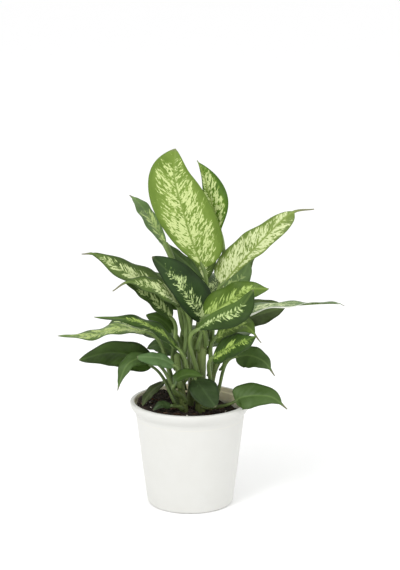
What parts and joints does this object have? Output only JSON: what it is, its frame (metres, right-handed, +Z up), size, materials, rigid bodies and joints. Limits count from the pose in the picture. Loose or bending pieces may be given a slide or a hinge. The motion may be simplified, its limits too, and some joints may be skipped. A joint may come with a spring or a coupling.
{
  "type": "potted dieffenbachia",
  "caption": "Potted foliage plant with broad, pointed, cream-flecked leaves on long stalks from short canes, standing in soil in a thin round nursery pot.",
  "frame": {"origin": "middle of the pot's flat underside, where the plant stands", "axes": "+Z up along the pot's axis, -Y towards the side that is seen first, +X to that side's right"},
  "size_m": [0.2793, 0.1914, 0.356],
  "materials": {
    "pot": "thin moulded white polypropylene, satin",
    "soil": "moist peat potting mix, rough",
    "cane": "smooth green plant stem",
    "leaf_pale": "waxy leaf, mostly cream",
    "leaf_bright": "waxy leaf, flecked with cream",
    "leaf_deep": "waxy dark leaf, cream along the midrib",
    "leaf_plain": "waxy plain green leaf"
  },
  "bodies": {
    "root": {"pot": "pot", "soil": "soil", "cane_main": "cane", "cane_middle": "cane", "cane_left": "cane", "cane_right": "cane", "cane_back": "cane", "leaf_crown": "leaf_pale", "leaf_crown_behind": "leaf_pale", "leaf_upper_left": "leaf_bright", "leaf_upper_inner": "leaf_plain", "leaf_upper_right": "leaf_pale", "leaf_right_back": "leaf_bright", "leaf_left_upper": "leaf_bright", "leaf_left_front": "leaf_bright", "leaf_left_under": "leaf_deep", "leaf_dark_centre": "leaf_deep", "leaf_bright_right": "leaf_bright", "leaf_front_dark": "leaf_deep", "leaf_long_right": "leaf_bright", "leaf_right_under": "leaf_deep", "leaf_right_mid": "leaf_bright", "leaf_right_front": "leaf_bright", "leaf_right_low": "leaf_plain", "leaf_over_rim": "leaf_plain", "leaf_front_low": "leaf_deep", "leaf_left_low": "leaf_deep", "leaf_left_arch": "leaf_plain", "leaf_left_pale": "leaf_plain", "leaf_left_long": "leaf_bright", "leaf_left_behind": "leaf_deep", "leaf_left_mid": "leaf_bright", "leaf_left_shaded": "leaf_deep", "leaf_left_inner": "leaf_plain", "leaf_front_small": "leaf_deep", "leaf_pot_left": "leaf_plain", "leaf_pot_front": "leaf_deep", "leaf_back_left": "leaf_deep", "leaf_back_right": "leaf_deep", "leaf_back_high": "leaf_bright", "leaf_back_low": "leaf_deep", "leaf_back_upper_left": "leaf_bright", "leaf_back_upper_right": "leaf_bright", "leaf_back_low_right": "leaf_plain", "leaf_back_low_left": "leaf_plain"}
  },
  "joints": []
}
